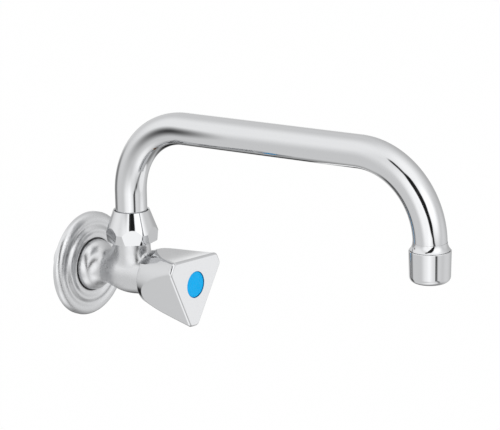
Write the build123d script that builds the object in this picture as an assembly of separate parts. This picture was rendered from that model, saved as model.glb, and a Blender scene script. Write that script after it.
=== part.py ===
"""Wall tap for cold water with a swivelling bent-tube spout.

Frame: the origin is on the inlet's axis in the wall's plane, +Y points into the wall, -Y out into
the room, +Z up and +X to the right as seen from the front. Lengths are in millimetres and angles
in degrees. The valve's pieces are turned about the inlet's axis and measured "out" from the wall,
which is along -Y. The spout's pieces are turned about the upright swivel axis and measured in Z.
"""

import os
from math import acos, cos, degrees, pi, radians, sin

from build123d import *

os.makedirs("parts", exist_ok=True)

# ---------------------------------------------------------------- clearances

turning_gap = 0.05          # radial, between a piece that turns and its bearing
sliding_gap = 0.10          # beside a guided piece that slides
seating_gap = 0.03          # between fixed pieces that fit into each other
face_gap = 0.05             # between flat faces that move on each other
seal_gap = 0.02             # an O-ring's outside to the bore that it seals
clearance_gap = 0.5         # around a piece that passes another without touching
overrun = 1.0               # how far a cutting shape runs past the surface that it cuts
flush = 0.01                # an edge this near a plane counts as lying on it

# ---------------------------------------------------------------- valve body

inlet_radius = 20.955 / 2   # half-inch pipe thread
inlet_length = 18.0         # stub behind the wall's plane
inlet_chamfer = 1.2
inlet_pitch = 1.814
inlet_thread_depth = 0.95
inlet_crest = 0.4           # flat left on top of each thread
inlet_runout = 2.0          # plain stretch between the wall's plane and the first thread
inlet_bore = 6.5
flange_radius = 14.7
flange_back = 1.0           # out from the wall
flange_edge = 5.5           # where the flange's straight side ends and its round face starts
flange_round = 6.0          # radius of the round face
neck_round = 8.0            # radius of the hollow between the flange and the neck
neck_radius = 9.0
barrel_shoulder = (10.6, 24.0)   # radius of the barrel and distance out, on its way up
barrel_radius = 12.0
barrel_widest = 33.0
front_radius = 10.9

chamber_floor = 25.0        # out from the wall; the whole valve stacks up from here
seat_radius = 6.0
seat_height = 1.2
seat_orifice = 4.5
orifice_length = 3.0

boss_to_front = 12.0        # from the swivel axis to the body's front
boss_height = 27.0
socket_radius = 9.0
boss_wall = 1.2             # round the socket, below the thread
boss_thread_step = 1.7      # how far the thread stands out from the boss
boss_thread_length = 8.0
boss_blend = 7.0
socket_depth = 11.5
outlet_passage = 5.0

# ---------------------------------------------------------------- rosette

rosette_radius = 30.0
rosette_sheet = 1.0
rosette_rim = 1.9           # straight rim on the wall
rosette_seal_width = 0.8    # from the flange to the rosette's hole
rosette_lip = 5.0           # the hole's edge, out from the wall
rosette_hollow = (2.1, 4.7)  # width from the hole's edge, and distance out
rosette_ring = (4.7, 5.3)
rosette_groove = (7.5, 3.9)
rosette_dome = (9.9, 4.4)
rosette_edge_slope = (-0.3, -1)  # direction in which the face leaves the rim
rosette_lip_slope = (-1, -0.6)   # direction in which it meets the hole

# ---------------------------------------------------------------- union nut

nut_across_flats = 27.2
nut_widest_radius = 14.8
nut_bottom_radius = 14.2
nut_widest_height = 5.5     # above the nut's bottom
nut_roof = 5.0
nut_top_rim = 0.8           # flat rim round the nut's hole
nut_hole_chamfer = 0.4
nut_turn = 10.0             # where the tightened nut's flats stand

# ---------------------------------------------------------------- spout

tube_radius = 9.0
tube_wall = 1.0
leg_length = 20.3           # upright, from the boss to the first bend
first_bend = 41.0
second_bend = 43.0
run_rise = 1.34             # the run climbs a little towards the outlet
spout_reach = 200.0
outlet_leg = 5.5            # straight end of the tube, below the second bend

lower_ring_height = 0.95
upper_ring_height = 1.65
collar_step = 1.8           # how far the collar stands out from the socket
collar_height = 2.0
collar_wall = 0.85          # inside the O-ring grooves
spigot_length = 7.9         # the collar's upper end, inside the tube
spigot_wall = 1.0

swivel_seal_section = 0.65
swivel_seal_places = (3.1, 7.5)  # above the socket's floor

sleeve_flare = 1.65         # how far the flare's lower edge stands out from the tube
sleeve_top_edge = 0.15      # the same at the flare's thin upper edge
sleeve_flare_height = 4.0
sleeve_flare_hollow = 5.9   # radius of the flare's hollow curve
sleeve_wall = 1.0           # from the tube to the thread's crest
sleeve_thread_length = 6.3
sleeve_tube_depth = 6.5
sleeve_ledge = 1.4          # what the tube's end stands on

# ---------------------------------------------------------------- aerator

housing_wall = 1.15         # outside the thread
housing_taper = 0.4
housing_length = 17.0
housing_round = 3.2
housing_rim_chamfer = 0.3
housing_lip = 1.8
housing_gap = 0.3            # open joint between the aerator's rim and the flare
mouth_rim = 0.9             # covers the cartridge's lower edge
cartridge_step = 0.8        # how much smaller than the thread the cartridge is
cartridge_wall = 1.0
cartridge_lip = 0.5
cartridge_flange = 0.8
gasket_height = 1.1
strainer_height = 0.5
strainer_hole = 0.45
strainer_rings = 5
jet_plate_height = 1.2
jet_plate_depth = 4.0
jet_hole = 0.5
jet_circle_inset = 2.3
jet_count = 18
screen_height = 0.4
screen_space = 0.6
screen_pitch = 1.5
screen_opening = 1.05

# ---------------------------------------------------------------- bonnet and spindle

bonnet_thread_radius = 16.66 / 2
bonnet_thread_length = 8.0
bonnet_thread_gap = 0.07    # what the thread's flanks leave
skirt_step = 0.93           # how much smaller than the thread the skirt is
skirt_length = 1.45
bonnet_hexagon = 19.0
bonnet_hexagon_height = 5.0
bonnet_neck = 7.0
gasket_sheet = 1.0
gasket_radius = 10.1

piston_radius = 6.0
piston_hexagon = 9.6
piston_round_length = 8.45
piston_hexagon_length = 10.0
piston_floor = 2.95
cup_radius = 7.0
cup_web = 1.8
cup_depth = 1.6
washer_height = 3.0
washer_hole = 1.6
washer_screw_radius = 1.45
washer_screw_head = 2.8
washer_screw_head_height = 1.4
piston_seal_section = 0.75
valve_lift = 5.0            # how far the piston rises

lead_thread_radius = 3.0
spindle_radius = 3.5
spindle_collar_radius = 4.6
spindle_collar_height = 1.4
thrust_washer_height = 0.7
gland_length = 4.8
spindle_seal_section = 0.5
spindle_seal_spacing = 2.2
circlip_height = 0.7
circlip_radius = 4.9
circlip_groove = 2.9
circlip_opening = 70.0      # degrees
spline_teeth = 18
spline_depth = 0.45

# ---------------------------------------------------------------- handle

handle_gap = 3.0            # from the body's front to the handle's rear rim
handle_length = 30.2
handle_rear_radius = 15.4
handle_corner_radius = 24.7 # from the axis to a corner of the face
handle_flat_bite = 0.15     # how deep a flat cuts into the round rear rim
handle_flat_front = 17.0    # from the axis to a flat at the face
handle_hollow = 160.0       # radius of the hollow in each flat
handle_turn = -4.0          # how far the closed handle stands from upright
handle_wall = 2.1
handle_hub_radius = 6.6
handle_step = 1.5           # the hollow round the hub is this much narrower than the rear one
handle_front_wall = 6.0     # in front of the hollow round the hub
handle_web = 2.6            # between the spindle's hole and the screw's head
crease_round = 3.0
face_round = 1.5
rim_round = 0.6

cap_radius = 7.6
cap_recess = 3.1
cap_height = 2.5
cap_sunk = 0.35
cap_bead = 0.5
handle_screw_radius = 1.75
handle_screw_length = 8.0
handle_screw_head = 3.2
handle_screw_head_height = 2.2
screw_pocket = 4.6
cross_slot_width = 0.8
cross_slot_length = 4.5
cross_slot_depth = 1.2


# ---------------------------------------------------------------- places worked out from the sizes

# The valve's stack, out from the wall.
washer_front = chamber_floor + seat_height + face_gap
cup_floor = washer_front + washer_height
piston_round_start = cup_floor + cup_web
piston_bore_start = piston_round_start + piston_floor
piston_hexagon_start = piston_round_start + piston_round_length
piston_end = piston_hexagon_start + piston_hexagon_length

skirt_start = piston_round_start + valve_lift + clearance_gap
thread_start = skirt_start + skirt_length
body_front = thread_start + bonnet_thread_length
hexagon_start = body_front + gasket_sheet
hexagon_end = hexagon_start + bonnet_hexagon_height
guide_start = piston_hexagon_start + valve_lift + clearance_gap
guide_end = piston_end + valve_lift + clearance_gap

collar_start = guide_end
collar_end = collar_start + spindle_collar_height
washer_end = collar_end + face_gap + thrust_washer_height
gland_start = washer_end + face_gap
gland_end = gland_start + gland_length
circlip_start = gland_end + face_gap
circlip_end = circlip_start + circlip_height
spline_start = circlip_end + clearance_gap

handle_rim = body_front + handle_gap
handle_face = handle_rim + handle_length
pocket_floor = handle_face - cap_recess - handle_screw_head_height - 2 * clearance_gap
spindle_end = pocket_floor - handle_web - clearance_gap

# The swivel's stack, up from the inlet's axis.
spout_setback = body_front - boss_to_front
socket_floor = boss_height - socket_depth
thread_bottom = boss_height - boss_thread_length
collar_low = boss_height + lower_ring_height + face_gap
collar_top = collar_low + collar_height
nut_ceiling = collar_top + face_gap + upper_ring_height
nut_top = nut_ceiling + nut_roof

# The spout's path, from the upright leg to the outlet.
leg_height = boss_height + leg_length
rise = radians(run_rise)
run_length = (
    spout_reach - first_bend * (1 - sin(rise)) - second_bend * (1 + sin(rise))
) / cos(rise)
bend_end = leg_height + (first_bend - second_bend) * cos(rise) + run_length * sin(rise)
tube_end = bend_end - outlet_leg
flare_top = tube_end + sleeve_tube_depth
flare_bottom = flare_top - sleeve_flare_height
outlet_height = flare_bottom - housing_gap

# Radii that pieces share.
chamber_radius = bonnet_thread_radius + bonnet_thread_gap
piston_bore_radius = piston_radius + sliding_gap
gland_radius = spindle_radius + turning_gap
rosette_hole = flange_radius + rosette_seal_width
boss_radius = socket_radius + boss_wall
boss_thread_radius = boss_radius + boss_thread_step
collar_radius = socket_radius + collar_step
tube_bore = tube_radius - tube_wall
nut_hole_radius = tube_radius + clearance_gap
sleeve_thread_radius = tube_radius + sleeve_wall
cartridge_radius = sleeve_thread_radius - cartridge_step


# ---------------------------------------------------------------- ways of making a piece

def valve_profile(*points):
    """Closed outline from (radius, distance out) points, in the plane of the valve's axis."""
    return make_face(Polyline(*[(radius, -out) for radius, out in points], close=True))


def turned_on_valve_axis(*points):
    return revolve(valve_profile(*points), Axis.Y)


def on_spout_axis(shape, at=0.0):
    """Moves a piece made about Z out to the swivel axis, or on to the outlet's axis."""
    return Pos(0, -spout_setback - at, 0) * shape


def turned_upright(*points):
    """A piece turned about Z from (radius, height) points."""
    outline = Polyline(*[(radius, 0, height) for radius, height in points], close=True)
    return revolve(make_face(outline), Axis.Z)


def tube_piece(outer, inner, low, high):
    return turned_upright((inner, low), (outer, low), (outer, high), (inner, high))


def ring_on_valve_axis(outer, inner, start, end):
    return turned_on_valve_axis((inner, start), (outer, start), (outer, end), (inner, end))


def o_ring_on_valve_axis(bore, section, out):
    centre = bore - seal_gap - section
    return revolve(Pos(centre, -out, 0) * Circle(section), Axis.Y)


def upright_o_ring(bore, section, height):
    centre = bore - seal_gap - section
    return revolve(Pos(centre, 0, height) * (Plane.XZ * Circle(section)), Axis.Z)


def prism_along_valve(outline, start, end):
    """Pushes a flat outline, drawn as seen from the front, from one distance out to another."""
    return extrude(Plane((0, -start, 0), x_dir=(1, 0, 0), z_dir=(0, -1, 0)) * outline, end - start)


def hexagon_along_valve(across_flats, start, end):
    return prism_along_valve(RegularPolygon(across_flats / 2, 6, major_radius=False), start, end)


def groove_profile(bore, section):
    """Floor radius and half width of the groove that an O-ring lies in."""
    return bore - seal_gap - 2 * section - seating_gap, section + sliding_gap


def star(outer, depth, teeth):
    """Toothed outline of a spline with pointed teeth."""
    step = pi / teeth
    points = []
    for index in range(2 * teeth):
        radius = outer - depth * (index % 2)
        points.append((radius * cos(index * step), radius * sin(index * step)))
    return make_face(Polyline(*points, close=True))


def write(name, shape):
    shape.label = name
    export_step(shape, f"parts/{name}.step")


# ---------------------------------------------------------------- valve body

# The flange's round face turns in and the neck's hollow turns back by the same angle.
flange_turn = degrees(acos(1 - (flange_radius - neck_radius) / (flange_round + neck_round)))
flange_face = JernArc((flange_radius, -flange_edge), (0, -1), flange_round, -flange_turn)
neck_hollow = JernArc(flange_face @ 1, flange_face % 1, neck_round, flange_turn)
barrel = Spline(
    neck_hollow @ 1,
    (barrel_shoulder[0], -barrel_shoulder[1]),
    (barrel_radius, -barrel_widest),
    (front_radius, -body_front),
    tangents=((0, -1), (front_radius - barrel_radius, barrel_widest - body_front)),
)
barrel_extension = Line(barrel @ 1, barrel @ 1 + 2 * boss_blend * (barrel % 1))

# The thread is drawn as a row of rings, one for each pitch, from the stub's end to its runout.
thread_start_y = inlet_length - inlet_chamfer - inlet_crest
thread_count = int((thread_start_y - inlet_runout) / inlet_pitch)
inlet_thread = []
for ring in range(thread_count):
    crest_edge = thread_start_y - ring * inlet_pitch
    inlet_thread += [
        (inlet_radius, crest_edge),
        (inlet_radius - inlet_thread_depth, crest_edge - (inlet_pitch - inlet_crest) / 2),
        (inlet_radius, crest_edge - inlet_pitch + inlet_crest),
    ]

body_outline = Curve() + [
    Polyline(
        (0, inlet_length),
        (inlet_radius - inlet_chamfer, inlet_length),
        (inlet_radius, inlet_length - inlet_chamfer),
        *inlet_thread,
        (inlet_radius, -flange_back),
        (flange_radius, -flange_back),
        (flange_radius, -flange_edge),
    ),
    flange_face,
    neck_hollow,
    barrel,
    barrel_extension,
    Polyline(
        barrel_extension @ 1,
        (0, (barrel_extension @ 1).Y),
        (0, inlet_length),
    ),
]
valve_body = revolve(make_face(body_outline), Axis.Y)

# The boss is blended into a barrel that runs on past its front end, and the front is faced off after.
boss = on_spout_axis(Cylinder(boss_radius, boss_height, align=(Align.CENTER, Align.CENTER, Align.MIN)))
valve_body = valve_body + boss
boss_seam = valve_body.edges().filter_by(
    lambda edge: edge.geom_type not in (GeomType.CIRCLE, GeomType.LINE)
    and edge.center().Z > 0
)
valve_body = fillet(boss_seam, boss_blend)
faced_off = boss_height + flange_radius
valve_body -= Pos(0, -body_front - faced_off, 0) * Box(2 * faced_off, 2 * faced_off, 2 * faced_off)

valve_body += on_spout_axis(tube_piece(boss_thread_radius, socket_radius, thread_bottom, boss_height))

waterway = turned_on_valve_axis(
    (0, -inlet_length - overrun),
    (inlet_bore, -inlet_length - overrun),
    (inlet_bore, chamber_floor - orifice_length - (inlet_bore - seat_orifice)),
    (seat_orifice, chamber_floor - orifice_length),
    (seat_orifice, chamber_floor + seat_height),
    (seat_radius, chamber_floor + seat_height),
    (seat_radius, chamber_floor),
    (chamber_radius, chamber_floor),
    (chamber_radius, body_front + overrun),
    (0, body_front + overrun),
)
riser = on_spout_axis(turned_upright(
    (0, 0),
    (outlet_passage, 0),
    (outlet_passage, socket_floor),
    (socket_radius, socket_floor),
    (socket_radius, boss_height + overrun),
    (0, boss_height + overrun),
))
valve_body = valve_body - waterway - riser
write("valve_body", valve_body)

# ---------------------------------------------------------------- rosette

rosette_face = Spline(
    (rosette_radius, -rosette_rim),
    *[(rosette_hole + width, -out)
      for width, out in (rosette_dome, rosette_groove, rosette_ring, rosette_hollow)],
    (rosette_hole, -rosette_lip),
    tangents=(rosette_edge_slope, rosette_lip_slope),
)
rosette_back = Spline(
    (rosette_hole, -rosette_lip + rosette_sheet),
    *[(rosette_hole + width, -out + rosette_sheet)
      for width, out in (rosette_hollow, rosette_ring, rosette_groove, rosette_dome)],
    (rosette_radius - rosette_sheet, -rosette_rim + rosette_sheet / 2),
    tangents=[(-slope[0], -slope[1]) for slope in (rosette_lip_slope, rosette_edge_slope)],
)
rosette_outline = Curve() + [
    rosette_face,
    Line(rosette_face @ 1, rosette_back @ 0),
    rosette_back,
    Polyline(
        rosette_back @ 1,
        (rosette_radius - rosette_sheet, 0),
        (rosette_radius, 0),
        (rosette_radius, -rosette_rim),
    ),
]
write("rosette", revolve(make_face(rosette_outline), Axis.Y))

# A rubber ring round the flange carries the rosette's hole.
rosette_seal_section = (rosette_hole - flange_radius) / 2 - seating_gap
rosette_seal = ring_on_valve_axis(
    rosette_hole - seating_gap,
    flange_radius + seating_gap,
    flange_back + rosette_seal_section,
    rosette_lip - rosette_seal_section,
)
write("rosette_seal", rosette_seal)

# ---------------------------------------------------------------- bonnet

bonnet = turned_on_valve_axis(
    (0, skirt_start),
    (bonnet_thread_radius - skirt_step, skirt_start),
    (bonnet_thread_radius - skirt_step, thread_start),
    (bonnet_thread_radius, thread_start),
    (bonnet_thread_radius, hexagon_start),
    (bonnet_neck, hexagon_start),
    (bonnet_neck, gland_end),
    (0, gland_end),
)
bonnet += hexagon_along_valve(bonnet_hexagon, hexagon_start, hexagon_end)
bonnet -= ring_on_valve_axis(piston_bore_radius, 0, skirt_start - overrun, guide_start)
bonnet -= hexagon_along_valve(piston_hexagon + 2 * sliding_gap, guide_start, gland_start)
bonnet -= ring_on_valve_axis(gland_radius, 0, guide_start, gland_end + overrun)
write("bonnet", bonnet)

write("bonnet_gasket", ring_on_valve_axis(
    gasket_radius, bonnet_thread_radius + seating_gap, body_front, hexagon_start
))

# ---------------------------------------------------------------- piston

piston_seal_out = skirt_start + piston_seal_section + 2 * sliding_gap
groove_floor, groove_half = groove_profile(piston_bore_radius, piston_seal_section)
thread_bore = lead_thread_radius + turning_gap
piston = turned_on_valve_axis(
    (0, cup_floor),
    (cup_radius - cup_web / 2, cup_floor),
    (cup_radius - cup_web / 2, cup_floor - cup_depth),
    (cup_radius, cup_floor - cup_depth),
    (cup_radius, piston_round_start),
    (piston_radius, piston_round_start),
    (piston_radius, piston_seal_out - groove_half),
    (groove_floor, piston_seal_out - groove_half),
    (groove_floor, piston_seal_out + groove_half),
    (piston_radius, piston_seal_out + groove_half),
    (piston_radius, piston_hexagon_start),
    (0, piston_hexagon_start),
)
piston += hexagon_along_valve(piston_hexagon, piston_hexagon_start, piston_end)
piston -= ring_on_valve_axis(thread_bore, 0, piston_bore_start, piston_end + overrun)
screw_bore = washer_screw_radius + seating_gap
piston -= ring_on_valve_axis(screw_bore, 0, cup_floor - overrun, piston_bore_start)
write("valve_piston", piston)

write("piston_o_ring", o_ring_on_valve_axis(piston_bore_radius, piston_seal_section, piston_seal_out))

valve_washer_radius = cup_radius - cup_web / 2 - seating_gap
write("valve_washer", ring_on_valve_axis(valve_washer_radius, washer_hole, washer_front, cup_floor))

washer_screw = ring_on_valve_axis(
    washer_screw_head, 0, washer_front - washer_screw_head_height, washer_front
)
washer_screw += ring_on_valve_axis(washer_screw_radius, 0, washer_front, piston_bore_start - sliding_gap)
washer_slot = prism_along_valve(
    Rectangle(2 * washer_screw_head + overrun, cross_slot_width),
    washer_front - washer_screw_head_height,
    washer_front - washer_screw_head_height / 2,
)
write("washer_screw", washer_screw - washer_slot)

# ---------------------------------------------------------------- spindle

spindle_inner_end = piston_bore_start + valve_lift + clearance_gap
seal_middle = gland_start + gland_length / 2
seal_places = (seal_middle - spindle_seal_spacing / 2, seal_middle + spindle_seal_spacing / 2)
groove_floor, groove_half = groove_profile(gland_radius, spindle_seal_section)

spindle = ring_on_valve_axis(lead_thread_radius, 0, spindle_inner_end, collar_start + face_gap)
spindle += ring_on_valve_axis(spindle_collar_radius, 0, collar_start + face_gap, collar_end)
spindle += ring_on_valve_axis(spindle_radius, 0, collar_end, spline_start)
for place in seal_places:
    spindle -= ring_on_valve_axis(
        spindle_radius + overrun, groove_floor, place - groove_half, place + groove_half
    )
spindle -= ring_on_valve_axis(
    spindle_radius + overrun,
    circlip_groove,
    circlip_start - face_gap / 2,
    circlip_end + face_gap / 2,
)
spindle += prism_along_valve(
    star(spindle_radius - turning_gap, spline_depth, spline_teeth), spline_start, spindle_end
)
handle_screw_end = spindle_end - handle_screw_length
spindle -= ring_on_valve_axis(
    handle_screw_radius + seating_gap, 0, handle_screw_end - clearance_gap, spindle_end + overrun
)
write("spindle", spindle)

spindle_o_rings = Compound(children=[
    o_ring_on_valve_axis(gland_radius, spindle_seal_section, place) for place in seal_places
])
write("spindle_o_rings", spindle_o_rings)

write("thrust_washer", ring_on_valve_axis(
    spindle_collar_radius, spindle_radius + seating_gap, collar_end, washer_end - face_gap
))

circlip = ring_on_valve_axis(circlip_radius, circlip_groove + seating_gap, circlip_start, circlip_end)
mouth = 2 * circlip_radius * sin(radians(circlip_opening / 2))
circlip -= Pos(0, -(circlip_start + circlip_end) / 2, -circlip_radius) * Box(
    mouth, circlip_height + overrun, 2 * circlip_radius
)
write("spindle_circlip", circlip)

# ---------------------------------------------------------------- handle

handle = turned_on_valve_axis(
    (0, handle_rim),
    (handle_rear_radius, handle_rim),
    (handle_corner_radius, handle_face),
    (0, handle_face),
)
# Each flat is a very large shallow hollow that leans outwards from the rear rim to the face.
handle_flat_rear = handle_rear_radius - handle_flat_bite
flat_lean = degrees(acos(
    handle_length / ((handle_flat_front - handle_flat_rear) ** 2 + handle_length ** 2) ** 0.5
))
flat_middle = (handle_flat_rear + handle_flat_front) / 2
flat_length = handle_length / cos(radians(flat_lean))
flat_sag = handle_hollow - (handle_hollow ** 2 - (flat_length / 2) ** 2) ** 0.5
for side in range(3):
    hollow = Rot(0, 90, 0) * Cylinder(handle_hollow, 4 * handle_corner_radius)
    hollow = Pos(0, 0, handle_hollow - flat_sag) * hollow
    hollow = Pos(0, -(handle_rim + handle_face) / 2, flat_middle) * Rot(flat_lean, 0, 0) * hollow
    handle -= Rot(0, 120 * side - handle_turn, 0) * hollow

creases = handle.edges().filter_by(
    lambda edge: edge.geom_type not in (GeomType.CIRCLE, GeomType.LINE)
    and abs(edge.bounding_box().size.Y) > handle_length / 2
)
handle = fillet(creases, crease_round)
front_edges = handle.edges().filter_by(lambda edge: edge.bounding_box().max.Y < -handle_face + flush)
handle = fillet(front_edges, face_round)
rear_edges = handle.edges().filter_by(lambda edge: edge.bounding_box().min.Y > -handle_rim - flush)
handle = fillet(rear_edges, rim_round)

hub_start = spline_start
handle_cavity_radius = handle_rear_radius - handle_wall
handle -= ring_on_valve_axis(handle_cavity_radius, 0, handle_rim - overrun, hub_start)
handle -= ring_on_valve_axis(
    handle_cavity_radius - handle_step,
    handle_hub_radius,
    hub_start - overrun,
    handle_face - handle_front_wall,
)
handle -= prism_along_valve(
    star(spindle_radius, spline_depth, spline_teeth), hub_start - overrun, spindle_end + clearance_gap
)
handle -= ring_on_valve_axis(handle_screw_radius + sliding_gap, 0, hub_start, handle_face)
handle -= ring_on_valve_axis(screw_pocket, 0, pocket_floor, handle_face)
handle -= ring_on_valve_axis(cap_radius, 0, handle_face - cap_recess, handle_face + overrun)
write("handle", handle)

handle_screw = ring_on_valve_axis(
    handle_screw_head, 0, pocket_floor, pocket_floor + handle_screw_head_height
)
handle_screw += ring_on_valve_axis(handle_screw_radius, 0, handle_screw_end, pocket_floor)
slot_end = pocket_floor + handle_screw_head_height
for slot_turn in (0, 90):
    slot = Rot(0, 0, slot_turn) * Rectangle(cross_slot_length, cross_slot_width)
    handle_screw -= prism_along_valve(slot, slot_end - cross_slot_depth, slot_end + overrun)
write("handle_screw", handle_screw)

cap_front = handle_face - cap_sunk
cap_back = cap_front - cap_height
index_cap = turned_on_valve_axis(
    (0, cap_back + cap_height / 2),
    (screw_pocket, cap_back + cap_height / 2),
    (screw_pocket, cap_back),
    (cap_radius - seating_gap, cap_back),
    (cap_radius - seating_gap, cap_front - cap_bead),
    (cap_radius - seating_gap - cap_bead, cap_front),
    (0, cap_front),
)
write("index_cap", index_cap)

# ---------------------------------------------------------------- union nut

nut_bottom = thread_bottom
nut_blank = turned_upright(
    (0, nut_bottom),
    (nut_bottom_radius, nut_bottom),
    (nut_widest_radius, nut_bottom + nut_widest_height),
    (nut_hole_radius + nut_top_rim, nut_top),
    (0, nut_top),
)
nut_hexagon = Rot(0, 0, nut_turn) * Pos(0, 0, nut_bottom) * extrude(
    RegularPolygon(nut_across_flats / 2, 6, major_radius=False), nut_top - nut_bottom
)
nut = nut_blank & nut_hexagon
nut -= turned_upright(
    (0, nut_bottom - overrun),
    (boss_thread_radius + seating_gap, nut_bottom - overrun),
    (boss_thread_radius + seating_gap, boss_height + lower_ring_height),
    (collar_radius + clearance_gap, boss_height + lower_ring_height),
    (collar_radius + clearance_gap, nut_ceiling),
    (nut_hole_radius, nut_ceiling),
    (nut_hole_radius, nut_top - nut_hole_chamfer),
    (nut_hole_radius + nut_hole_chamfer, nut_top + face_gap),
    (0, nut_top + face_gap),
)
write("union_nut", on_spout_axis(nut))

# ---------------------------------------------------------------- swivel base of the spout

sleeve_radius = socket_radius - turning_gap
sleeve_low = socket_floor + clearance_gap
groove_floor, groove_half = groove_profile(socket_radius, swivel_seal_section)

seal_heights = [socket_floor + place for place in swivel_seal_places]
base_points = [(groove_floor - collar_wall, sleeve_low), (sleeve_radius, sleeve_low)]
for height in seal_heights:
    base_points += [
        (sleeve_radius, height - groove_half),
        (groove_floor, height - groove_half),
        (groove_floor, height + groove_half),
        (sleeve_radius, height + groove_half),
    ]
spigot_radius = tube_bore - seating_gap
base_points += [
    (sleeve_radius, collar_low),
    (collar_radius, collar_low),
    (collar_radius, collar_top),
    (spigot_radius, collar_top),
    (spigot_radius, collar_top + spigot_length),
    (spigot_radius - spigot_wall, collar_top + spigot_length),
    (spigot_radius - spigot_wall, collar_top),
    (groove_floor - collar_wall, collar_top),
]
write("spout_collar", on_spout_axis(turned_upright(*base_points)))

swivel_seals = Compound(children=[
    on_spout_axis(upright_o_ring(socket_radius, swivel_seal_section, height))
    for height in seal_heights
])
write("spout_o_rings", swivel_seals)

lower_ring = tube_piece(
    boss_thread_radius - clearance_gap / 2,
    sleeve_radius + 2 * turning_gap,
    boss_height,
    boss_height + lower_ring_height,
)
write("lower_slide_ring", on_spout_axis(lower_ring))

upper_ring = tube_piece(
    collar_radius, tube_radius + 2 * turning_gap, collar_top + face_gap, nut_ceiling
)
write("upper_slide_ring", on_spout_axis(upper_ring))

# ---------------------------------------------------------------- spout tube

with BuildLine(Plane.YZ) as spout_path:
    upright_leg = Line((0, collar_top), (0, leg_height))
    first_arc = JernArc(upright_leg @ 1, (0, 1), first_bend, 90 - run_rise)
    run = Line(first_arc @ 1, first_arc @ 1 + run_length * (first_arc % 1))
    second_arc = JernArc(run @ 1, run % 1, second_bend, 90 + run_rise)
    outlet_leg = Line(second_arc @ 1, (-spout_reach, tube_end))
tube_section = Pos(0, 0, collar_top) * (Circle(tube_radius) - Circle(tube_bore))
spout_tube = sweep(tube_section, spout_path.line)
write("spout_tube", on_spout_axis(spout_tube))

# ---------------------------------------------------------------- outlet sleeve

thread_low = flare_bottom - sleeve_thread_length
flare_radius = tube_radius + sleeve_flare
flare_top_radius = tube_radius + sleeve_top_edge
sleeve_bore = tube_radius - sleeve_ledge
flare = Plane.XZ * RadiusArc(
    (flare_radius, flare_bottom), (flare_top_radius, flare_top), sleeve_flare_hollow
)
sleeve_outline = Curve() + [
    Polyline(
        (flare_top_radius, 0, flare_top),
        (tube_radius + seating_gap, 0, flare_top),
        (tube_radius + seating_gap, 0, tube_end),
        (sleeve_bore, 0, tube_end),
        (sleeve_bore, 0, thread_low),
        (sleeve_thread_radius, 0, thread_low),
        (sleeve_thread_radius, 0, flare_bottom),
        (flare_radius, 0, flare_bottom),
    ),
    flare,
]
end_sleeve = revolve(make_face(sleeve_outline), Axis.Z)
write("spout_end_sleeve", on_spout_axis(end_sleeve, spout_reach))

# ---------------------------------------------------------------- aerator

housing_radius = sleeve_thread_radius + housing_wall
housing_bottom = outlet_height - housing_length
mouth_radius = cartridge_radius - mouth_rim
housing_thread = sleeve_thread_radius + sliding_gap
shell_radius = cartridge_radius + seating_gap
gasket_top = thread_low
flange_top = gasket_top - gasket_height
flange_low = flange_top - cartridge_flange
lip_top = housing_bottom + housing_lip

housing_blank = turned_upright(
    (0, housing_bottom),
    (housing_radius - housing_taper, housing_bottom),
    (housing_radius, outlet_height - housing_rim_chamfer),
    (housing_radius - housing_rim_chamfer, outlet_height),
    (0, outlet_height),
)
bottom_edge = housing_blank.edges().group_by(Axis.Z)[0]
housing = fillet(bottom_edge, housing_round)
housing -= turned_upright(
    (0, housing_bottom - overrun),
    (mouth_radius, housing_bottom - overrun),
    (mouth_radius, lip_top),
    (shell_radius, lip_top),
    (shell_radius, flange_low),
    (housing_thread, flange_low),
    (housing_thread, outlet_height + overrun),
    (0, outlet_height + overrun),
)
write("aerator_housing", on_spout_axis(housing, spout_reach))

gasket = tube_piece(sleeve_thread_radius - seating_gap, sleeve_bore, flange_top, gasket_top)
write("aerator_gasket", on_spout_axis(gasket, spout_reach))

cartridge_bore = cartridge_radius - cartridge_wall
strainer_low = flange_top - strainer_height
jet_plate_top = flange_top - jet_plate_depth
plate_radius = cartridge_bore - seating_gap
ledge_radius = cartridge_bore - cartridge_wall
jet_plate_low = jet_plate_top - jet_plate_height
screens_low = lip_top + cartridge_lip
screens_top = screens_low + 2 * screen_height + screen_space
shell_piece = turned_upright(
    (ledge_radius, lip_top),
    (cartridge_radius, lip_top),
    (cartridge_radius, flange_low),
    (sleeve_thread_radius - seating_gap, flange_low),
    (sleeve_thread_radius - seating_gap, flange_top),
    (cartridge_bore, flange_top),
    (cartridge_bore, jet_plate_low),
    (ledge_radius, jet_plate_low),
    (ledge_radius, screens_top + cartridge_wall / 2),
    (cartridge_bore, screens_top + cartridge_wall / 2),
    (cartridge_bore, screens_low),
    (ledge_radius, screens_low),
)
write("aerator_shell", on_spout_axis(shell_piece, spout_reach))

strainer_holes = []
for ring in range(1, strainer_rings + 1):
    ring_radius = ring * plate_radius / (strainer_rings + 1)
    strainer_holes += PolarLocations(ring_radius, 6 * ring)
strainer_face = Circle(plate_radius) - [place * Circle(strainer_hole) for place in strainer_holes]
strainer = Pos(0, 0, strainer_low) * extrude(strainer_face, strainer_height)
write("aerator_strainer", on_spout_axis(strainer, spout_reach))

jet_holes = PolarLocations(plate_radius - jet_circle_inset, jet_count)
jet_face = Circle(plate_radius) - [place * Circle(jet_hole) for place in jet_holes]
jet_plate = Pos(0, 0, jet_plate_low) * extrude(jet_face, jet_plate_height)
write("aerator_jet_plate", on_spout_axis(jet_plate, spout_reach))

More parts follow.
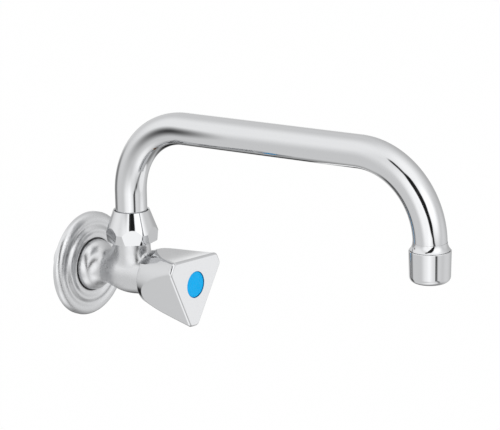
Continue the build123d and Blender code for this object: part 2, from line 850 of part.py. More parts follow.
screen_limit = ledge_radius - screen_opening / 2
screen_count = int(2 * ledge_radius / screen_pitch)
screen_places = [
    place for place in GridLocations(screen_pitch, screen_pitch, screen_count, screen_count)
    if (place.position.X ** 2 + place.position.Y ** 2) ** 0.5 < screen_limit
]
screen_face = Circle(plate_radius) - [
    place * Rectangle(screen_opening, screen_opening) for place in screen_places
]
lower_screen = Pos(0, 0, screens_low) * extrude(screen_face, screen_height)
upper_screen = Pos(0, 0, screens_low + screen_height + screen_space) * Rot(0, 0, 45) * extrude(
    screen_face, screen_height
)
screens = Compound(children=[
    on_spout_axis(lower_screen, spout_reach), on_spout_axis(upper_screen, spout_reach)
])
write("aerator_screens", screens)
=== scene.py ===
"""Looks of a wall tap for cold water with a swivelling bent-tube spout.

Each section dresses one piece, or a group of like pieces, in the order in which the tap is put
together. The last sections hold the light, the floor and the camera. Sizes are in millimetres.
"""
import math

import bmesh
import bpy
import numpy as np
from mathutils import Matrix, Vector


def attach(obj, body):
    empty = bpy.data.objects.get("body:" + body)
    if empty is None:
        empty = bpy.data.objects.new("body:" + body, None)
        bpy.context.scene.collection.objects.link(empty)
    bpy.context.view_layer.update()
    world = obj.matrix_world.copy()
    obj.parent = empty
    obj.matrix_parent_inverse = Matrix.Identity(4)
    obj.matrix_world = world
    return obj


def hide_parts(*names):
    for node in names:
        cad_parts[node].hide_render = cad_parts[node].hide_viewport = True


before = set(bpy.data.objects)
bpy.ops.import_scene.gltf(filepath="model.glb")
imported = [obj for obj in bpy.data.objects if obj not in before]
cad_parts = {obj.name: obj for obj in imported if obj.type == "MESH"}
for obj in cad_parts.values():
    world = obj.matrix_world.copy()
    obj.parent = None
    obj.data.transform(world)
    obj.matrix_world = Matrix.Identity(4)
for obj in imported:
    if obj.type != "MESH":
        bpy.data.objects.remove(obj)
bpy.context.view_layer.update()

# ---------------------------------------------------------------- valve body
# The body is one brass casting: pipe stub, round flange, neck, barrel and upright boss. It is ground
# and buffed by hand and then chrome plated, so its mirror is soft and very slightly wavy.

mm = 0.001
flange_radius, flange_back, flange_edge = 14.7, 1.0, 5.5
flange_round, neck_round, neck_radius = 6.0, 8.0, 9.0
boss_out, boss_radius, boss_step_height = 34.0, 10.2, 19.0
body_front, body_front_radius, body_front_slope = 46.0, 10.9, -0.085
stub_radius = 10.4775
flange_turn = math.acos(1 - (flange_radius - neck_radius) / (flange_round + neck_round))
neck_start = flange_edge + (flange_round + neck_round) * math.sin(flange_turn)
blend_radius, front_blend_radius = 9.0, 3.0
boss_fade, boss_fade_height = 0.35, 4.0
barrel_stations = np.array([
    # distance out, radius
    (neck_start, neck_radius), (24.0, 10.6), (33.0, 12.0), (body_front, body_front_radius),
])
skin_turn = 120             # degrees, how far round from the top the boss's part of the skin reaches
skin_step = 2.5             # degrees between the skin's columns
rim_corner = 50             # degrees, where the boss's rim changes from its front to its side
skin_top = boss_step_height - 0.2    # a strip joins it to the foot of the boss's thread
skin_rows, side_rows, bend_rows = 72, 64, 25
settle_steps, settle_share = 90, 0.8
hidden_by = 0.2             # inner faces lie at least this far under the skin
flush = 0.01                # a point this near a plane lies on it


def curve_through(places, values, first_slope, last_slope):
    """A cubic between each two places. Its slopes at the inner places are solved so that the
    curvature doesn't jump: each slope weighs in with one over the length of the parts it joins."""
    places, values = np.array(places, float), np.array(values, float)
    gaps = np.diff(places)
    rates = (np.diff(values, axis=0).T / gaps).T
    inner = np.arange(1, len(places) - 1)
    system = np.eye(len(places))
    system[inner, inner - 1] = 1 / gaps[:-1]
    system[inner, inner] = 2 / gaps[:-1] + 2 / gaps[1:]
    system[inner, inner + 1] = 1 / gaps[1:]
    wanted = np.empty_like(values)
    wanted[0], wanted[-1] = first_slope, last_slope
    wanted[1:-1] = 3 * ((rates[:-1].T / gaps[:-1]) + (rates[1:].T / gaps[1:])).T
    slopes = np.linalg.solve(system, wanted)

    def curve(at):
        part = np.clip(np.searchsorted(places, at, side="right") - 1, 0, len(gaps) - 1)
        length = gaps[part]
        share = (at - places[part]) / length
        if values.ndim > 1:
            length, share = length[..., None], share[..., None]
        rest = 1 - share
        return (
            rest**2 * (1 + 2 * share) * values[part]
            + share**2 * (1 + 2 * rest) * values[part + 1]
            + rest**2 * share * length * slopes[part]
            - share**2 * rest * length * slopes[part + 1]
        )

    return curve


barrel_radius = curve_through(*barrel_stations.T, 0, body_front_slope)


def body_gap(x, out, z):
    """Roughly the distance to the body's skin, below zero inside. It is the lesser of the distance to
    the turned barrel and the distance to the boss, less a rounding where the two are about the
    same. The rounding is that of a ball rolled along both: it grows with the angle between their
    directions, from nothing where they run alike. The ball is smaller in front, where the body soon
    ends. Below the inlet axis the boss narrows."""
    to_barrel = np.hypot(x, z) - barrel_radius(out)
    from_boss_axis = np.hypot(x, out - boss_out)
    to_boss = from_boss_axis - boss_radius + boss_fade * np.clip(boss_fade_height - z, 0, None)
    alike = np.clip(x**2 / np.clip(np.hypot(x, z) * from_boss_axis, 1e-3, None), 0, 1)
    in_front = np.clip((out - boss_out) / boss_radius, 0, 1) ** 2
    ball = blend_radius + (front_blend_radius - blend_radius) * in_front
    width = 4 * ball * (1 / np.sqrt((1 + alike) / 2) - 1) + 1e-6
    overlap = np.clip(width - np.abs(to_barrel - to_boss), 0, None) / width
    return np.minimum(to_barrel, to_boss) - overlap**2 * width / 4


def grid_faces(rows, columns, closed_rows=False, closed_columns=False):
    """Corner numbers of the four-sided faces of a grid whose points are numbered row by row."""
    numbers = np.arange(rows * columns).reshape(rows, columns)
    if closed_rows:
        numbers = np.vstack([numbers, numbers[:1]])
    if closed_columns:
        numbers = np.hstack([numbers, numbers[:, :1]])
    corners = [numbers[:-1, :-1], numbers[:-1, 1:], numbers[1:, 1:], numbers[1:, :-1]]
    return np.stack(corners, axis=-1).reshape(-1, 4)


def turned_grid(radii, outs, turns):
    """Points of a profile of radii and distances out, turned about the inlet axis; turn 0 is the top."""
    radii, outs = np.broadcast_arrays(np.asarray(radii, float), np.asarray(outs, float))
    x = radii[:, None] * np.sin(turns)
    z = radii[:, None] * np.cos(turns)
    return np.stack([x, np.broadcast_to(-outs[:, None], x.shape), z], axis=-1)


def new_piece(name, grids, material, body, replaced, sharp=30.0):
    """Joins grids of (points, faces) in millimetres into one mesh, hangs it on its body and hides the
    imported node that it takes the place of.
    """
    points = np.concatenate([np.reshape(part, (-1, 3)) for part, _ in grids]) * mm
    starts = np.cumsum([0] + [np.size(part) // 3 for part, _ in grids[:-1]])
    faces = [row for start, (_, corners) in zip(starts, grids) for row in (corners + start).tolist()]
    mesh = bpy.data.meshes.new(name)
    mesh.from_pydata(points.tolist(), [], faces)
    merged = bmesh.new()
    merged.from_mesh(mesh)
    bmesh.ops.remove_doubles(merged, verts=merged.verts, dist=0.0005 * mm)
    bmesh.ops.recalc_face_normals(merged, faces=merged.faces)
    if merged.calc_volume(signed=True) < 0:
        bmesh.ops.reverse_faces(merged, faces=merged.faces)
    merged.to_mesh(mesh)
    merged.free()
    mesh.shade_smooth()
    mesh.set_sharp_from_angle(angle=math.radians(sharp))
    mesh.materials.append(material)
    piece = bpy.data.objects.new(name, mesh)
    bpy.context.scene.collection.objects.link(piece)
    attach(piece, body)
    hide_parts(replaced)
    return piece


def turn_of(points, middle_out=None):
    """Angle of each point about the inlet axis, or about an upright axis that far out."""
    away = points[:, 2] if middle_out is None else -points[:, 1] - middle_out
    return np.arctan2(points[:, 0], away)


def joining_strip(ring, other_ring, middle_out=None):
    """Triangles between two closed rings. All points are taken in the order of their turns, and each
    makes a triangle with the point passed last on either ring."""
    turns, other_turns = turn_of(ring, middle_out), turn_of(other_ring, middle_out)
    points = np.concatenate([ring[np.argsort(turns)], other_ring[np.argsort(other_turns)]])
    order = np.argsort(np.concatenate([np.sort(turns), np.sort(other_turns)]), kind="stable")
    on_ring = order < len(ring)
    here = (np.cumsum(on_ring) - 1) % len(ring)
    there = (np.cumsum(~on_ring) - 1) % len(other_ring) + len(ring)
    return points, np.stack([np.roll(here, 1), np.roll(there, 1), order], axis=1)


def body_skin(stub_rim, boss_rim, front_rim):
    """The skin's upper part is a grid between the boss's rim and a loop on the barrel: front edge,
    side, back edge, side. Each point lies on a ray that starts on the boss's axis near the rim, and on
    the barrel's axis near the loop, and turns from level to straight out from the barrel on the way.
    Along each ray the point moves by the remaining gap until the gap is gone. The lower part and the
    flange are plain turned grids that share the loop's points. Where the boss's rounding lifts the
    loop's back edge, the flange's neck rises with it, by a share that falls off with the square of
    the way back. Strips join the skin to the rims of the faces inside."""
    arc = np.radians(np.arange(-skin_turn, skin_turn, skin_step))
    side = np.linspace(body_front, neck_start, side_rows, endpoint=False)
    back_to_front = np.linspace(neck_start, body_front, side_rows, endpoint=False)
    loop_turn = np.concatenate([arc, np.full(side_rows, -arc[0]), -arc, np.full(side_rows, arc[0])])
    loop_out = np.concatenate([
        np.full(len(arc), body_front), side, np.full(len(arc), neck_start), back_to_front,
    ])
    corners = [-rim_corner, rim_corner, 180 - rim_corner, 180 + rim_corner, 360 - rim_corner]
    counts = [len(arc), side_rows, len(arc), side_rows]
    rim_turn = np.radians(np.concatenate([
        np.linspace(first, last, count, endpoint=False)
        for first, last, count in zip(corners, corners[1:], counts)
    ]))
    share = np.linspace(0, 1, skin_rows)[:, None]
    start_out = boss_out + (loop_out - boss_out) * share
    start_z = skin_top * (1 - share)
    toward = np.stack([
        np.sin(rim_turn) * (1 - share) + np.sin(loop_turn) * share,
        np.cos(rim_turn) * (1 - share),
        np.cos(loop_turn) * share,
    ])
    toward /= np.linalg.norm(toward, axis=0)
    reach = np.zeros_like(start_out)
    for _ in range(settle_steps):
        gap = body_gap(toward[0] * reach, start_out + toward[1] * reach, start_z + toward[2] * reach)
        reach -= settle_share * gap
    out = np.minimum(start_out + toward[1] * reach, body_front)
    upper = np.stack([toward[0] * reach, -out, start_z + toward[2] * reach], axis=-1)

    low_turns = np.radians(np.arange(skin_turn, 360 - skin_turn + skin_step / 2, skin_step))
    outs = np.append(side, neck_start)
    lower = turned_grid(barrel_radius(outs), outs, low_turns)

    turns = np.radians(np.arange(0, 360, skin_step))
    bend = np.linspace(0, flange_turn, bend_rows)
    radii = np.concatenate([
        [stub_radius, flange_radius, flange_radius],
        flange_radius - flange_round * (1 - np.cos(bend[1:])),
        neck_radius + neck_round * (1 - np.cos(bend[::-1]))[1:],
    ])
    outs = np.concatenate([
        [flange_back, flange_back, flange_edge],
        flange_edge + flange_round * np.sin(bend[1:]),
        neck_start - neck_round * np.sin(bend[::-1])[1:],
    ])
    flange = turned_grid(radii, outs, turns)
    back_edge = slice(len(arc) + side_rows, 2 * len(arc) + side_rows)
    columns = np.rint(loop_turn[back_edge] / np.radians(skin_step)).astype(int)
    lift = np.zeros(len(turns))
    lift[columns] = np.hypot(*upper[-1, back_edge, ::2].T) - neck_radius
    neck_bend_length = neck_round * math.sin(flange_turn)
    rising = np.clip((outs - neck_start) / neck_bend_length + 1, 0, 1) ** 2
    flange[..., ::2] *= (1 + rising[:, None] * lift / radii[:, None])[..., None]

    front_edge = np.concatenate([upper[-1, :len(arc)], lower[0, :-1]])
    return [
        joining_strip(flange[0], stub_rim),
        joining_strip(upper[0], boss_rim, boss_out),
        joining_strip(front_edge, front_rim),
        (upper, grid_faces(*upper.shape[:2], closed_columns=True)),
        (lower, grid_faces(*lower.shape[:2])),
        (flange, grid_faces(*flange.shape[:2], closed_columns=True)),
    ]


def hidden_faces(node, keep):
    """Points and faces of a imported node, of the triangles that keep says are to stay."""
    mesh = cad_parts[node].data
    points = np.empty(3 * len(mesh.vertices), np.float32)
    corners = np.empty(3 * len(mesh.polygons), np.int32)
    mesh.vertices.foreach_get("co", points)
    mesh.polygons.foreach_get("vertices", corners)
    points, corners = points.reshape(-1, 3) / mm, corners.reshape(-1, 3)
    return points, corners[keep(points[corners])]


def inside_body(triangles):
    """Water passages, thread, socket, and all that lies behind the flange or under the nut."""
    x, y, z = np.moveaxis(triangles, -1, 0)
    in_barrel = (np.hypot(x, z) < neck_radius - hidden_by).all(axis=1)
    in_boss = ((np.hypot(x, y + boss_out) < boss_radius - hidden_by) & (z > 0)).all(axis=1)
    behind_flange = (y > flush - flange_back).all(axis=1)
    under_nut = (z > boss_step_height - flush).all(axis=1)
    return in_barrel | in_boss | behind_flange | under_nut


def open_rim(points, faces):
    """Points on the edges that only one face has. Points are the same to a thousandth."""
    places = np.rint(points / 0.001)
    _, first, same = np.unique(places, axis=0, return_index=True, return_inverse=True)
    corners = same.reshape(-1)[faces]
    edges = np.sort(np.concatenate([corners[:, :2], corners[:, 1:], corners[:, ::2]]), axis=1)
    edges, count = np.unique(edges, axis=0, return_counts=True)
    return points[first[np.unique(edges[count == 1])]]


def add(tree, kind, *inputs, **settings):
    """Adds a node, sets its properties, feeds its inputs in order, and returns its first output."""
    node = tree.nodes.new(kind)
    for name, value in settings.items():
        setattr(node, name, value)
    for socket, value in zip(node.inputs, inputs):
        if isinstance(value, bpy.types.NodeSocket):
            tree.links.new(value, socket)
        elif value is not None:
            socket.default_value = value
    return node.outputs[0]


def maths(tree, operation, *inputs):
    """One sum, product or the like of the inputs, as the operation's name says."""
    return add(tree, "ShaderNodeMath", *inputs, operation=operation)


def spread(tree, value, low, high, start=0.0, end=1.0):
    """Carries a value from start..end over to low..high, and no further."""
    return add(tree, "ShaderNodeMapRange", value, start, end, low, high)


def clouds(tree, place, size, detail=2.0):
    """Soft noise from 0 to 1 whose blotches are about size millimetres across."""
    return add(tree, "ShaderNodeTexNoise", place, None, 1 / (size * mm), detail)


def drawn_out(tree, place, stretch):
    """Coordinates scaled along each axis, so that noise on them becomes fine lines."""
    return add(tree, "ShaderNodeMapping", place, None, None, stretch)


def new_material(name, colour, roughness, metallic=0.0):
    """A plain material with its node tree, its shader and the object's own coordinates."""
    material = bpy.data.materials.new(name)
    material.use_nodes = True
    tree = material.node_tree
    shader = tree.nodes["Principled BSDF"]
    shader.inputs["Base Color"].default_value = (*colour, 1.0)
    shader.inputs["Roughness"].default_value = roughness
    shader.inputs["Metallic"].default_value = metallic
    place = add(tree, "ShaderNodeTexCoord").node.outputs["Object"]
    return material, tree, shader, place


def worked_metal(name, colour, roughness, wave, wave_height, stretch, mark_width, mark_height):
    """Polished metal. Long shallow waves bend its reflections, fine lines left by the wheel or the
    lathe run across the stretched axis, a few hairline scratches cross them, and handling leaves
    duller patches. Sizes are in millimetres."""
    material, tree, shader, place = new_material(name, colour, roughness, 1.0)
    lines = clouds(tree, drawn_out(tree, place, stretch), mark_width)
    scratch_turn, scratch_stretch, scratch_width = (0.6, 0.9, 0.4), (0.04, 1.0, 1.0), 0.25
    scratch_place = add(tree, "ShaderNodeMapping", place, None, scratch_turn, scratch_stretch)
    scratches = spread(tree, clouds(tree, scratch_place, scratch_width, 1.0), 0.0, 1.0, 0.70, 0.76)
    patch_size, dullness_of_scratches = 9.0, 0.06
    patches = spread(tree, clouds(tree, place, patch_size, 4.0), 0.85, 1.35, 0.35, 0.7)
    rough = maths(tree, "MULTIPLY", patches, spread(tree, lines, 0.8 * roughness, 1.2 * roughness))
    rough = maths(tree, "MULTIPLY_ADD", scratches, dullness_of_scratches, rough)
    tree.links.new(rough, shader.inputs["Roughness"])
    waves = add(tree, "ShaderNodeBump", 1.0, wave_height * mm, None, clouds(tree, place, wave, 0.0))
    marks = maths(tree, "SUBTRACT", lines, scratches)
    bumps = add(tree, "ShaderNodeBump", 1.0, mark_height * mm, None, marks, waves)
    tree.links.new(bumps, shader.inputs["Normal"])
    return material


chrome_tone = (0.548, 0.553, 0.562)
cast_chrome = worked_metal("cast_chrome", chrome_tone, 0.28, 9.0, 0.004, (1, 5, 1), 0.4, 0.00003)
inside = hidden_faces("valve_body", inside_body)
rims = open_rim(*inside)
skin = body_skin(
    rims[rims[:, 1] > 0], rims[rims[:, 2] > skin_top], rims[rims[:, 1] < flush - body_front],
)
new_piece("body_casting", [*skin, inside], cast_chrome, "tap_body", "valve_body")

# ---------------------------------------------------------------- rosette
# The rosette is pressed from thin brass sheet: a straight rim on the wall, a shallow dome, a groove
# and a raised ring, and a lip at the hole that a rubber ring holds on the flange. It is plated.

rosette_hole, rosette_radius, sheet = 15.5, 30.0, 1.0
rim_height = 1.9
face_rows, back_rows, rosette_step = 90, 60, 2.0
face_stations = np.array([
    # radius, distance out
    (rosette_radius, rim_height), (25.4, 4.4), (23.0, 3.9), (20.2, 5.3), (17.6, 4.7), (rosette_hole, 5.0),
])
back_stations = face_stations[::-1] - (0, sheet)
back_stations[-1] = (rosette_radius - sheet, rim_height - sheet / 2)
edge_slope, lip_slope = np.array([-0.287, 0.958]), np.array([-0.857, 0.515])


def drawn_curve(stations, first_slope, last_slope, count):
    """Smooth line through stations of (radius, out), each as far along as the straight lengths add up."""
    along = np.append(0, np.cumsum(np.linalg.norm(np.diff(stations, axis=0), axis=1)))
    return curve_through(along, stations, first_slope, last_slope)(np.linspace(0, along[-1], count))


rosette_profile = np.concatenate([
    drawn_curve(face_stations, edge_slope, lip_slope, face_rows),
    drawn_curve(back_stations, -lip_slope, -edge_slope, back_rows),
    [(rosette_radius - sheet, 0), (rosette_radius, 0), (rosette_radius, rim_height / 2)],
])
full_turn = np.radians(np.arange(0, 360, rosette_step))
rosette_grid = turned_grid(rosette_profile[:, 0], rosette_profile[:, 1], full_turn)
pressed_chrome = worked_metal("pressed_chrome", chrome_tone, 0.26, 14.0, 0.004, (1, 5, 1), 0.4, 0.00003)
new_piece(
    "rosette_pressing", [(rosette_grid, grid_faces(*rosette_grid.shape[:2], True, True))],
    pressed_chrome, "tap_body", "rosette",
)

# ---------------------------------------------------------------- rosette seal and other rubber
# Nitrile rubber, moulded: nearly black, dull, with a fine grain and a little dust in it. The rings
# are pressed into their grooves, and the valve's washer is screwed to the piston.


def dress(material, *nodes):
    """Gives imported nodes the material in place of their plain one."""
    for node in nodes:
        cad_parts[node].data.materials.clear()
        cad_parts[node].data.materials.append(material)


def two_tones(tree, value, tone, other_tone, start, end):
    """The first tone up to start, the other from end on, and an even blend between."""
    ramp = add(tree, "ShaderNodeValToRGB", value)
    low, high = ramp.node.color_ramp.elements
    low.position, low.color = start, (*tone, 1)
    high.position, high.color = end, (*other_tone, 1)
    return ramp


rubber_tone, dusty_tone = (0.010, 0.010, 0.011), (0.035, 0.034, 0.032)
rubber, tree, shader, place = new_material("rubber", rubber_tone, 0.55)
dust = clouds(tree, place, 1.5, 4.0)
tree.links.new(two_tones(tree, dust, rubber_tone, dusty_tone, 0.5, 0.8), shader.inputs["Base Color"])
tree.links.new(spread(tree, dust, 0.42, 0.7), shader.inputs["Roughness"])
grain = add(tree, "ShaderNodeBump", 1.0, 0.01 * mm, None, clouds(tree, place, 0.12, 3.0))
tree.links.new(grain, shader.inputs["Normal"])
dress(
    rubber, "rosette_seal", "spindle_o_rings", "piston_o_ring", "valve_washer", "spout_o_rings",
    "aerator_gasket",
)

# ---------------------------------------------------------------- bonnet, spindle and piston
# The headpart is machined from brass bar and left bare: fine lathe rings run round it. The spout's
# collar is turned from bar too and brazed to the tube, so its rings run round the upright axis.

brass_tone = (0.80, 0.59, 0.29)
turned_brass = worked_metal("turned_brass", brass_tone, 0.22, 20.0, 0.001, (1, 60, 1), 4.0, 0.0006)
dress(turned_brass, "bonnet", "spindle", "valve_piston", "washer_screw")
collar_brass = worked_metal("collar_brass", brass_tone, 0.22, 20.0, 0.001, (1, 1, 60), 4.0, 0.0006)
dress(collar_brass, "spout_collar")

# ---------------------------------------------------------------- bonnet gasket and plastic rings
# The headpart seals on a ring punched from red fibre. The washer, the slide rings and the aerator's
# inner parts are moulded from white plastic and laid or clipped in place.


def moulded(name, colour, other_colour, roughness, grain, grain_height, blotch):
    """Cast or pressed stock with a fine grain, whose colour drifts a little between two tones."""
    material, tree, shader, place = new_material(name, colour, roughness)
    drift = clouds(tree, place, blotch, 3.0)
    tones = two_tones(tree, drift, colour, other_colour, 0.3, 0.7)
    tree.links.new(tones, shader.inputs["Base Color"])
    tree.links.new(spread(tree, drift, 0.85 * roughness, 1.2 * roughness), shader.inputs["Roughness"])
    bump = add(tree, "ShaderNodeBump", 1.0, grain_height * mm, None, clouds(tree, place, grain, 2.0))
    tree.links.new(bump, shader.inputs["Normal"])
    return material


fibre = moulded("fibre", (0.30, 0.075, 0.045), (0.42, 0.13, 0.08), 0.75, 0.15, 0.02, 0.8)
dress(fibre, "bonnet_gasket")
white_plastic = moulded(
    "white_plastic", (0.78, 0.78, 0.75), (0.84, 0.84, 0.82), 0.38, 0.3, 0.002, 6.0,
)
dress(
    white_plastic, "thrust_washer", "lower_slide_ring", "upper_slide_ring", "aerator_strainer",
    "aerator_shell", "aerator_jet_plate",
)

# ---------------------------------------------------------------- clip, handle screw and nets
# Stainless steel: an open clip sprung into the spindle's groove, the screw that holds the handle, and
# two nets of fine wire pressed into the aerator.

steel = worked_metal("steel", (0.62, 0.61, 0.60), 0.2, 20.0, 0.001, (1, 40, 1), 3.0, 0.0004)
dress(steel, "spindle_circlip", "handle_screw", "aerator_screens")

# ---------------------------------------------------------------- handle
# The handle is die cast, three-sided on a round rim, vibration polished and plated: its reflections
# are a little softer than those of the turned nut. One screw under the cap holds it.

handle_chrome = worked_metal("handle_chrome", chrome_tone, 0.11, 7.0, 0.004, (1, 1, 1), 0.3, 0.0002)
dress(handle_chrome, "handle")

# ---------------------------------------------------------------- index cap
# A disc of satin blue plastic that marks cold water, moulded with a fine rounded edge and snapped
# into the handle's face.

blue_plastic = moulded("blue_plastic", (0.0, 0.43, 0.89), (0.0, 0.445, 0.92), 0.28, 0.5, 0.001, 5.0)
blue_plastic.node_tree.nodes["Principled BSDF"].inputs["Specular IOR Level"].default_value = 0.05
dress(blue_plastic, "index_cap")

# ---------------------------------------------------------------- union nut and spout end
# The nut is turned from brass bar with a cone top, its six flats are milled, and it is plated. The
# end sleeve, brazed to the tube, and the aerator's screwed housing are turned and plated alike.

turned_chrome = worked_metal("turned_chrome", chrome_tone, 0.045, 12.0, 0.0012, (1, 1, 40), 6.0, 0.0001)
dress(turned_chrome, "union_nut", "spout_end_sleeve", "aerator_housing")

# ---------------------------------------------------------------- spout tube
# A thin-walled brass tube, bent cold round two formers, buffed along its length and plated. Its lower
# end is brazed into the collar, which turns in the boss under the nut.

tube_radius, tube_bore = 9.0, 8.0
tube_start, leg_top, tube_end = 30.0, 47.3, 42.513
first_bend, second_bend = 41.0, 43.0
run_rise = 1.34             # degrees
spout_reach = 200.0
first_bend_parts, second_bend_parts, ring_step = 59, 61, 3.0


def bent_tube():
    """A ring carried along the tube's middle line. The line is a row of headings, 0 for upright and
    90 for level: it moves by the chord of each step at the heading halfway through the step."""
    rise = math.radians(run_rise)
    bends_reach = first_bend * (1 - math.sin(rise)) + second_bend * (1 + math.sin(rise))
    run = (spout_reach - bends_reach) / math.cos(rise)
    first = np.linspace(0, math.pi / 2 - rise, first_bend_parts + 1)
    second = np.linspace(math.pi / 2 - rise, math.pi, second_bend_parts + 1)
    headings = np.concatenate([[0], first, second, [math.pi]])
    high = leg_top + (first_bend - second_bend) * math.cos(rise) + run * math.sin(rise)
    chords = np.concatenate([
        [leg_top - tube_start],
        2 * first_bend * np.sin(np.diff(first) / 2),
        [run],
        2 * second_bend * np.sin(np.diff(second) / 2),
        [high - tube_end],
    ])
    middle = (headings[1:] + headings[:-1]) / 2
    out = boss_out + np.append(0, np.cumsum(chords * np.sin(middle)))
    height = tube_start + np.append(0, np.cumsum(chords * np.cos(middle)))
    around = np.radians(np.arange(0, 360, ring_step))
    grids = []
    for radius in (tube_radius, tube_bore):
        lift = radius * np.sin(around)
        x = np.broadcast_to(radius * np.cos(around), (len(headings), len(around)))
        y = -(out[:, None] - np.cos(headings)[:, None] * lift)
        z = height[:, None] + np.sin(headings)[:, None] * lift
        grids.append(np.stack([x, y, z], axis=-1))
    wall = np.concatenate([grids[0], grids[1][::-1]])
    return [(wall, grid_faces(*wall.shape[:2], True, True))]


tube_chrome = worked_metal("tube_chrome", chrome_tone, 0.07, 16.0, 0.003, (1, 1, 1), 0.3, 0.0001)
new_piece("spout_bent_tube", bent_tube(), tube_chrome, "spout", "spout_tube")

# ---------------------------------------------------------------- light
# A white tent with soft panels. Metal mirrors the panels and the dark slot that the camera looks
# through. To everything else the tent is plain white, and to the camera it is the white background.


def towards(around, above):
    """Direction from the tap, in degrees round from the front to the right, and above level."""
    around, above = math.radians(around), math.radians(above)
    level_part = math.cos(above)
    return Vector((math.sin(around) * level_part, -math.cos(around) * level_part, math.sin(above)))


def apart(degrees):
    """Straight-line distance between the ends of two unit directions that many degrees apart."""
    return 2 * math.sin(math.radians(degrees) / 2)


tent_glow, least_glow = 0.99, 0.02
panels = [
    # (around, above), full as far as, gone beyond (degrees), how much it adds
    ((-20, 58), 8, 70, 0.62),       # ceiling
    ((-72, 4), 14, 44, 0.66),       # left of the camera
    ((-10, 14), 8, 42, 0.66),       # right of the camera
    ((-140, 32), 12, 55, 0.41),     # behind on the left
    ((-46, -22), 10, 30, 0.30),     # under the camera
    ((-49, -70), 6, 42, 0.69),      # floor in front
    ((51, -16), 12, 36, 0.10),      # low on the right
    ((129, 1), 7, 11, 0.54),        # a strip beyond the tap
    ((65, -77), 2, 44, -0.76),      # far side of the floor
    ((102, -1), 9, 60, -0.30),      # far right
    ((127, -18), 8, 40, -0.21),     # beyond the tap
    ((174, -19), 12, 27, -0.66),    # low at the back
    ((178, -31), 3, 16, -0.72),     # the wall's foot
    ((148, -48), 6, 26, -0.48),     # behind on the right, low
    ((124, -42), 8, 20, -0.60),     # low beyond the tap
]
slots = [
    # from, to, dark as far as, gone beyond (degrees), how dark
    ((-85, 48), (-58, 36), 3, 8, 0.97),
    ((-58, 36), (-46, 20), 10, 13, 0.97),
    ((-46, 20), (-39, 3), 8, 11, 0.97),
    ((-39, 3), (-33, -9), 3, 8, 0.92),
    ((-33, -9), (-24, -17), 2, 6, 0.85),
    ((-24, -17), (-9, -29), 2, 7, 0.60),
    ((-9, -29), (15, -52), 2, 9, 0.55),
]
world = bpy.data.worlds.new("tent")
bpy.context.scene.world = world
world.use_nodes = True
tree = world.node_tree
tree.nodes.clear()
look = add(tree, "ShaderNodeTexCoord").node.outputs["Generated"]


def vector_maths(tree, operation, *inputs, output="Vector"):
    """One sum, product or the like of vectors; output is Value where the result is a plain number."""
    return add(tree, "ShaderNodeVectorMath", *inputs, operation=operation).node.outputs[output]


def fade(tree, distance, inner, outer, amount):
    """The amount up to the inner angle, nothing from the outer one, and a soft step between."""
    return add(
        tree, "ShaderNodeMapRange", distance, apart(inner), apart(outer), amount, 0.0,
        interpolation_type="SMOOTHSTEP",
    )


light = add(tree, "ShaderNodeValue")
light.default_value = tent_glow
for (around, above), inner, outer, amount in panels:
    distance = vector_maths(tree, "DISTANCE", look, towards(around, above), output="Value")
    light = maths(tree, "ADD", light, fade(tree, distance, inner, outer, amount))
for near, far, inner, outer, depth in slots:
    near, far = towards(*near), towards(*far)
    along = far - near
    offset = vector_maths(tree, "SUBTRACT", look, near)
    share = vector_maths(tree, "DOT_PRODUCT", offset, along / along.length_squared, output="Value")
    share = maths(tree, "MINIMUM", maths(tree, "MAXIMUM", share, 0.0), 1.0)
    nearest = vector_maths(tree, "SCALE", along, None, None, share)
    distance = vector_maths(tree, "DISTANCE", offset, nearest, output="Value")
    dark = fade(tree, distance, inner, outer, depth)
    light = maths(tree, "MULTIPLY", light, maths(tree, "SUBTRACT", 1.0, dark))
light = maths(tree, "MAXIMUM", light, least_glow)

path = add(tree, "ShaderNodeLightPath").node
mirrored = maths(tree, "MAXIMUM", path.outputs["Is Glossy Ray"], path.outputs["Is Transmission Ray"])
strength = add(tree, "ShaderNodeMix", mirrored, None, 1.0, light)
background = add(tree, "ShaderNodeBackground", (1, 1, 1, 1), strength)
tree.links.new(background, tree.nodes.new("ShaderNodeOutputWorld").inputs["Surface"])

# ---------------------------------------------------------------- floor
# A wide sheet of white paper well below the tap. It looks white to the camera and still takes the
# tap's soft shadow. The metal doesn't see it, but the tent's floor panels instead.

floor_depth, floor_half, white_share = 250.0, 6000.0, 0.97
corners = np.array([(-1, -1), (1, -1), (1, 1), (-1, 1)]) * floor_half
floor_mesh = bpy.data.meshes.new("floor")
floor_mesh.from_pydata([(x * mm, y * mm, -floor_depth * mm) for x, y in corners], [], [(0, 1, 2, 3)])
floor_material, tree, shader, _ = new_material("floor_paper", (0.92, 0.92, 0.92), 0.8)
glow = add(tree, "ShaderNodeEmission", (1, 1, 1, 1), 1.0)
seen = add(tree, "ShaderNodeLightPath").node.outputs["Is Camera Ray"]
glow_share = maths(tree, "MULTIPLY", seen, white_share)
mixed = add(tree, "ShaderNodeMixShader", glow_share, shader.outputs[0], glow)
tree.links.new(mixed, tree.nodes["Material Output"].inputs["Surface"])
floor_mesh.materials.append(floor_material)
floor = bpy.data.objects.new("floor", floor_mesh)
bpy.context.scene.collection.objects.link(floor)
floor.visible_glossy = False

# ---------------------------------------------------------------- cards
# Two card sheets with soft edges, seen in the metal alone: a dark one hung beside the spout's first
# bend, and a white one held low before the handle's face. Metal nearer to a card than its reach
# doesn't see it, so the spout can swing through.

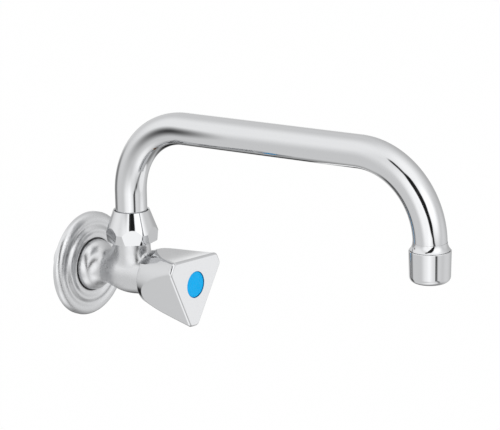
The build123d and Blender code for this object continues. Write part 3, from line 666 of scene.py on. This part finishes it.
cards = [
    # from this point, in the direction (around, above), how far off, half width, half height, dense
    # as far as this share of them, light
    ("dark_card", (-8.9, -68.0, 94.5), (-128, -16), 60.0, 38.0, 43.0, 0.0, 0.03),
    ("white_card", (0.0, -79.0, 0.0), (51, -16), 60.0, 52.0, 52.0, 0.6, 1.45),
]
card_density = 0.95         # how dense a card is at the most
unseen_below, seen_from = 15.0, 50.0
for name, spot, way, distance, half_width, half_height, dense, glow in cards:
    way = towards(*way)
    middle = Vector(spot) + way * distance
    across = way.cross(Vector((0, 0, 1))).normalized() * half_width
    upward = across.cross(way).normalized() * half_height
    card_mesh = bpy.data.meshes.new(name)
    corners = ((-1, -1), (1, -1), (1, 1), (-1, 1))
    points = [(middle + across * side + upward * rise) * mm for side, rise in corners]
    card_mesh.from_pydata(points, [], [(0, 1, 2, 3)])
    card_mesh.uv_layers.new(name="card").data.foreach_set("uv", np.ravel(corners).astype(np.float32))
    card_material, tree, _, _ = new_material(name, (glow, glow, glow), 1.0)
    spread_out = add(tree, "ShaderNodeUVMap", uv_map="card")
    from_middle = vector_maths(tree, "LENGTH", spread_out, output="Value")
    cover = add(
        tree, "ShaderNodeMapRange", from_middle, dense, 1.0, card_density, 0.0,
        interpolation_type="SMOOTHSTEP",
    )
    flown = add(tree, "ShaderNodeLightPath").node.outputs["Ray Length"]
    in_reach = add(
        tree, "ShaderNodeMapRange", flown, unseen_below * mm, seen_from * mm, 0.0, 1.0,
        interpolation_type="SMOOTHSTEP",
    )
    cover = maths(tree, "MULTIPLY", cover, in_reach)
    lit = add(tree, "ShaderNodeEmission", (glow, glow, glow, 1), 1.0)
    mixed = add(tree, "ShaderNodeMixShader", cover, add(tree, "ShaderNodeBsdfTransparent"), lit)
    tree.links.new(mixed, tree.nodes["Material Output"].inputs["Surface"])
    card_mesh.materials.append(card_material)
    card = bpy.data.objects.new(name, card_mesh)
    bpy.context.scene.collection.objects.link(card)
    card.visible_camera = card.visible_diffuse = card.visible_shadow = False

# ---------------------------------------------------------------- camera
# A long lens, from the left of the tap and a little above it. Its place and turn are fitted to the
# photograph's perspective.

view_around, view_above, camera_roll = -52.65, 15.14, -1.02
camera_spot = Vector((-998.3, -879.9, 385.7))
camera_data = bpy.data.cameras.new("camera")
camera_data.lens = 172.8
camera = bpy.data.objects.new("camera", camera_data)
bpy.context.scene.collection.objects.link(camera)
back = towards(view_around, view_above)
level = Vector((math.cos(math.radians(view_around)), math.sin(math.radians(view_around)), 0))
roll = Matrix.Rotation(math.radians(camera_roll), 3, "Z")
facing = Matrix((level, back.cross(level), back)).transposed() @ roll
camera.matrix_world = Matrix.Translation(camera_spot * mm) @ facing.to_4x4()
bpy.context.scene.camera = camera
bpy.context.scene.view_settings.view_transform = "Standard"
